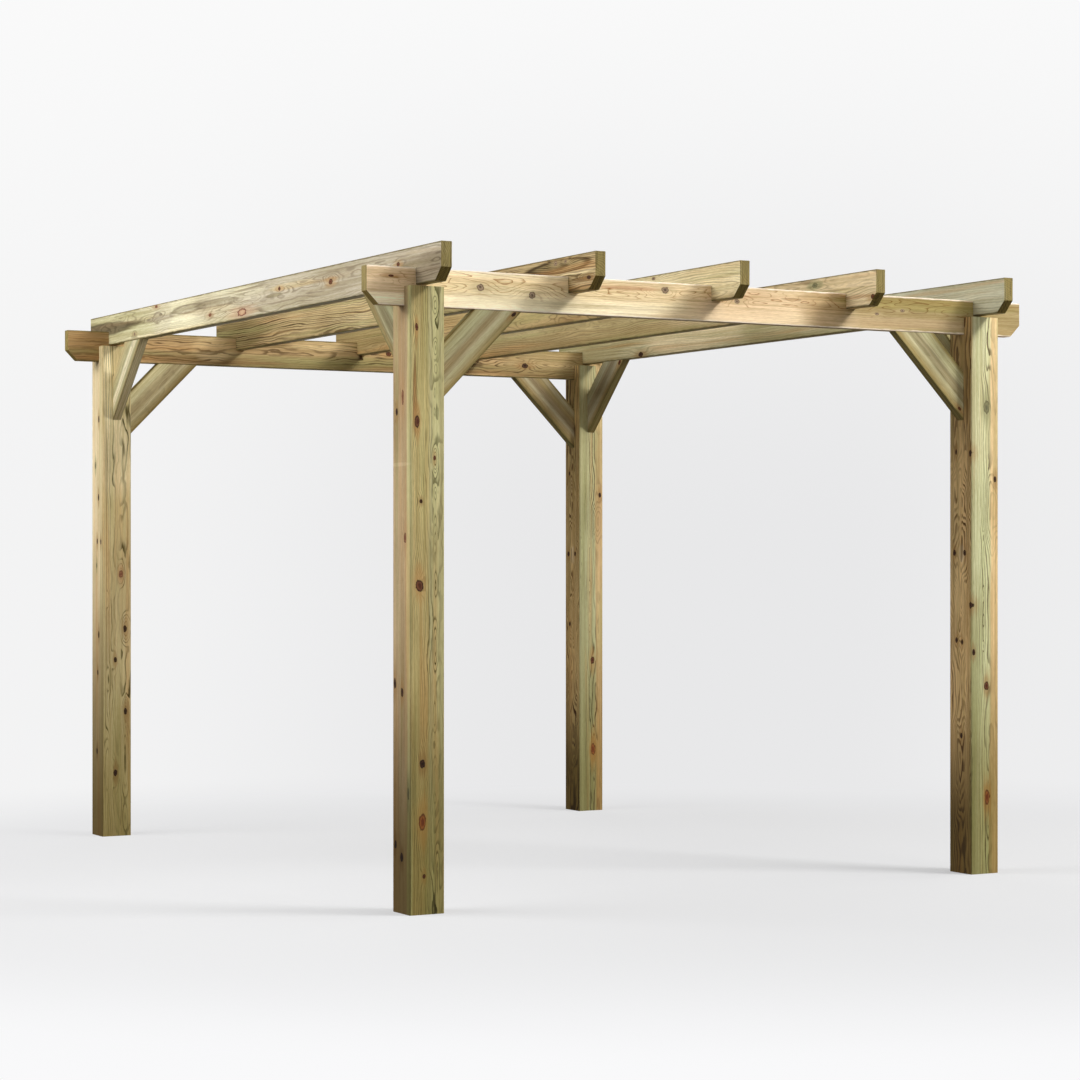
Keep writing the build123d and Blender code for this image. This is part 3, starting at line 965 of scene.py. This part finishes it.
    def knotted(self, tone):
        """The knots, each kind with the wood round it, its rim and its heart."""
        m = self.m
        ragged = (self.noise(*RAGS) - 0.5) * RAGGED_RIM
        for kind, (away, flow) in self.knots.items():
            heart, outer, dark_rim, round_it, strength = KNOT_KINDS[kind]
            away = away + ragged
            tone = m.mix((flow + (self.streak - 0.5) * 2.4).rise(2.4, 0.8) * strength, tone, round_it)
            inside = m.mix((away + (self.fine - 0.5) * 0.8).rise(0.25, 0.7), heart, outer)
            inside = m.mix(away.rise(0.6, 0.92), inside, dark_rim)
            tone = m.mix(away.rise(1.15, 0.95), tone, inside)
        return tone

    def foot_shaded(self, tone):
        """A post's foot, darker towards the ground: painted shade, strongest on the left face, with some of
        the darkening that a real post has at its foot.
        """
        left = self.toward_a.rise(-0.2, -0.6)
        foot = self.s.rise(*OTHER_FEET) * (1 - left) + self.s.rise(*self.wood.foot) * left
        return self.m.times(foot, tone, self.m.mix(left, FOOT_SHADE, LEFT_FOOT_SHADE))

    def ended(self, tone, late):
        """End grain where the timber is cut across, with faint marks of the saw, and painted shade on the
        cut under an end.
        """
        m = self.m
        saw = m.noise(m.vector(self.wood.seed, self.a * 150, self.b * 9), detail=2.0)
        band = late * 0.3 + saw.rise(0.45, 0.65) * 0.45
        end_tone = m.mix(band, m.mix(0.85, tone, END_GRAIN), END_BAND)
        # painted shade on cut faces that look down
        end_tone = m.times(self.toward_b.rise(-0.3, -0.6), end_tone, UNDERCUT_SHADE)
        return m.mix(abs(self.toward_s).rise(0.45, 0.68), tone, end_tone)


def timber_material(timber, wood):
    """Wood of one log, with its own rings, tones, stains and knots, and some painted light and shade."""
    m = Sheet(bpy.data.materials.new(f"{timber.node}_wood"))
    log = Log(m, timber, wood)
    late, line = log.late_wood()
    tone, grain = log.face_tones()
    tone = log.streaked(log.add_stains_and_painted_light(tone))
    tone = log.edged(m.times(line * grain, tone, wood.line))
    tone = log.knotted(tone)
    if timber.slot == "post_timber":
        tone = log.foot_shaded(tone)
    tone = log.ended(tone, late)
    tone = m.shaded(log.fibre.rise(0.65, 0.35), tone, STREAK_SHADE, 0.25)
    rough = DRY_ROUGHNESS + log.fibre * 0.16 - line * 0.08
    height = log.fibre * 0.35 + line * 0.5 + log.streak * 0.25
    bump = m.node("Bump", None, Strength=BUMP_STRENGTH, Distance=BUMP_HEIGHT, Height=height)
    shader = m.node("BsdfPrincipled", None, Base_Color=tone, Roughness=rough, Normal=bump,
                    Specular_IOR_Level=GLOSS)
    m.node("OutputMaterial", None, shader)
    return m.owner


for timber in timbers:
    wood = WOODS[timber.node]
    piece = surface(timber, wood)
    piece.data.materials.append(timber_material(timber, wood))
    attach(piece, "root")
    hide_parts(timber.node)


# ==== Floor, light and camera =================================================
FLOOR_RADIUS = 60.0
FLOOR_GLOW = srgb(181, 181, 182)    # what the floor by the object sends out by itself, at its left
FLOOR_GLOW_IN_SHADE = srgb(165, 165, 166)     # and at its right, dimmer: painted shade where the object's broad shadow lies
FLOOR_FRONT = srgb(249, 249, 250)
FLOOR_LIT = srgb(148, 148, 148)     # how much of the lamps' light it shows
FLOOR_BOUNCE = srgb(98, 98, 96)     # and sends back up to the object
WALL_LOW = srgb(232, 232, 233)
WALL_HIGH = srgb(250, 250, 250)
SKY = (0.98, 0.99, 1.0, 1.0)
AMBIENT = 0.14
ALONG_WALL = (0.871, -0.492, 0.0)   # to the right
FROM_WALL = (-0.492, -0.871, 0.0)   # to the front
STAND = 11.8                    # metres from the middle to where bearings are taken, out from the wall
LEFT_GLOW, LEFT_BEARINGS = 0.6, (0.02, -0.18)       # how much paler the wall is at its left, and where
RIGHT_GLOW, RIGHT_BEARINGS = 0.28, (0.11, 0.2)
WALL_RISE = 0.24                # sine of how high the wall is palest

# Where the floor changes, in metres.
SHADOW = (0.2, -1.0, 0.0)       # the middle of the shadow, which the floor keeps
FADE = (1.9, 4.2)               # from there: from the floor's own colour to the wall's
FRONT_FADE = (1.6, 5.2)         # to FLOOR_FRONT, in front of the object
FRONT_END = (14.0, 8.0)
DIM = (-1.6, 1.4)               # from FLOOR_GLOW on the left to the dimmer glow of painted shade on the right
GLOW_START = (3.0, 5.5)         # where the glow of the wall's two sides sets in
DISTANT = (10.0, 20.0)          # where bearings are taken from the middle, to meet the world's


def side_glow(bearing):
    """How far the wall is towards its paler colour, from the sine of how far to the right it is."""
    return bearing.rise(*LEFT_BEARINGS) * LEFT_GLOW + bearing.rise(*RIGHT_BEARINGS) * RIGHT_GLOW


def disc(name, radius, rings=24, spokes=96):
    """A flat disc: ring r of it lies at radius (r / rings) squared, so the cells are small in the middle."""
    turn = np.linspace(0, 2 * pi, spokes, endpoint=False)
    radii = radius * (np.arange(1, rings + 1) / rings) ** 2
    x, y = np.outer(radii, np.cos(turn)), np.outer(radii, np.sin(turn))
    points = np.stack((x.ravel(), y.ravel(), np.zeros(x.size)), axis=1)
    points = np.vstack((points, (0, 0, 0)))
    r, t = np.meshgrid(np.arange(rings - 1), np.arange(spokes), indexing="ij")
    here, there = r * spokes + t, r * spokes + (t + 1) % spokes
    faces = np.stack((here, here + spokes, there + spokes, there), axis=-1).reshape(-1, 4)
    centre = np.full(spokes, rings * spokes)
    fan = np.stack((centre, np.arange(spokes), (np.arange(spokes) + 1) % spokes), axis=1)
    mesh = bpy.data.meshes.new(name)
    mesh.from_pydata(points.tolist(), [], faces.tolist() + fan.tolist())
    piece = bpy.data.objects.new(name, mesh)
    bpy.context.scene.collection.objects.link(piece)
    return piece


def floor_material():
    """Pale to the camera, with the object's shadow kept faint, and greyer in the light it sends back up.
    Near the object its own glow is dimmer to the right, as painted shade. Away from the object it fades into
    the colour of the wall."""
    m = Sheet(bpy.data.materials.new("floor"))
    seen = m.node("LightPath", out="Is Camera Ray")
    place = m.node("TexCoord", out="Object")
    away = (place - SHADOW).length()
    toward = place.dot(FROM_WALL)
    aside = place.dot(ALONG_WALL)
    front = toward.rise(*FRONT_FADE) * away.rise(*FRONT_END)
    far = away.rise(*FADE).math("MAXIMUM", front)
    lit = m.node("BsdfDiffuse", None, Color=FLOOR_LIT)
    distant = away.rise(*DISTANT)
    bearing = aside / (place.length() * distant - toward * (1 - distant) + STAND)
    near_glow = m.mix(aside.rise(*DIM), FLOOR_GLOW, FLOOR_GLOW_IN_SHADE)
    near = m.node("AddShader", None, m.node("Emission", None, Color=near_glow), lit)
    back = m.mix(side_glow(bearing) * away.rise(*GLOW_START), WALL_LOW, WALL_HIGH)
    wall = m.node("Emission", None, Color=m.mix(front, back, FLOOR_FRONT), Strength=1.0)
    shown = m.node("MixShader", None, far, near, wall)
    bounce = m.node("BsdfDiffuse", None, Color=FLOOR_BOUNCE)
    m.node("OutputMaterial", None, m.node("MixShader", None, seen, bounce, shown))
    return m.owner


floor = disc("floor", FLOOR_RADIUS)
floor.data.materials.append(floor_material())


def softbox(name, place, aim, width, height, watts):
    """A rectangle of light at place that faces aim."""
    lamp = bpy.data.lights.new(name, "AREA")
    lamp.shape = "RECTANGLE"
    lamp.size, lamp.size_y = width, height
    lamp.energy = watts
    holder = bpy.data.objects.new(name, lamp)
    bpy.context.scene.collection.objects.link(holder)
    holder.visible_camera = False
    holder.location = place
    holder.rotation_euler = (Vector(aim) - Vector(place)).to_track_quat("-Z", "Y").to_euler()


# Each lamp's place, what it faces, its width and height in metres, and its power.
softbox("key", (5.5, -6.2, 7.5), (0, -0.2, 1.4), 3.0, 2.2, 810)
softbox("over", (3.4, -3.8, 8.5), (0, 0, 1), 8.0, 2.0, 340)
softbox("left", (-4.8, 0.2, 3.9), (-0.8, 0.2, 1.8), 4.6, 2.0, 150)
softbox("left_far", (-8.0, 2.0, 4.6), (0, 0, 1.5), 5.0, 3.0, 240)
softbox("front", (-2.5, -9.0, 2.6), (0, 0, 1.6), 6.0, 3.0, 130)
softbox("right", (6.0, 0, 2.5), (0, 0, 1.5), 3.0, 3.0, 60)
softbox("back", (3.6, 9.0, 1.9), (0.6, 0, 1.5), 4.0, 2.6, 190)


def studio():
    """The world: a weak even light, and to the camera a pale wall that is a little brighter higher up."""
    world = bpy.data.worlds.new("studio")
    m = Sheet(world)
    direction = m.node("TexCoord", out="Generated")
    high = direction.dot((0, 0, 1)).rise(0.0, WALL_RISE)
    wall = m.mix(high + (1 - high) * side_glow(direction.dot(ALONG_WALL)), WALL_LOW, WALL_HIGH)
    seen = m.node("LightPath", out="Is Camera Ray")
    light = m.node("Background", None, SKY, AMBIENT)
    shown = m.node("Background", None, wall, 1.0)
    m.node("OutputWorld", None, m.node("MixShader", None, seen, light, shown))
    bpy.context.scene.world = world


studio()

CAMERA_PLACE = (-5.7063, -10.2855, 1.2881)
CAMERA_TURN = radians(-29.4595)     # level, and turned this far from facing the back
LENS = 89.28                        # mm, on a sensor 36 mm wide
SENSOR = 36.0
LENS_SHIFT = (0.0038, 0.0174)
FARTHEST = 200.0                    # metres: how far the camera sees

lens = bpy.data.cameras.new("camera")
lens.sensor_width = SENSOR
lens.lens = LENS
lens.shift_x, lens.shift_y = LENS_SHIFT
lens.clip_end = FARTHEST
camera = bpy.data.objects.new("camera", lens)
bpy.context.scene.collection.objects.link(camera)
camera.location = CAMERA_PLACE
camera.rotation_euler = (radians(90), 0, CAMERA_TURN)
bpy.context.scene.camera = camera
bpy.context.scene.view_settings.view_transform = "Standard"
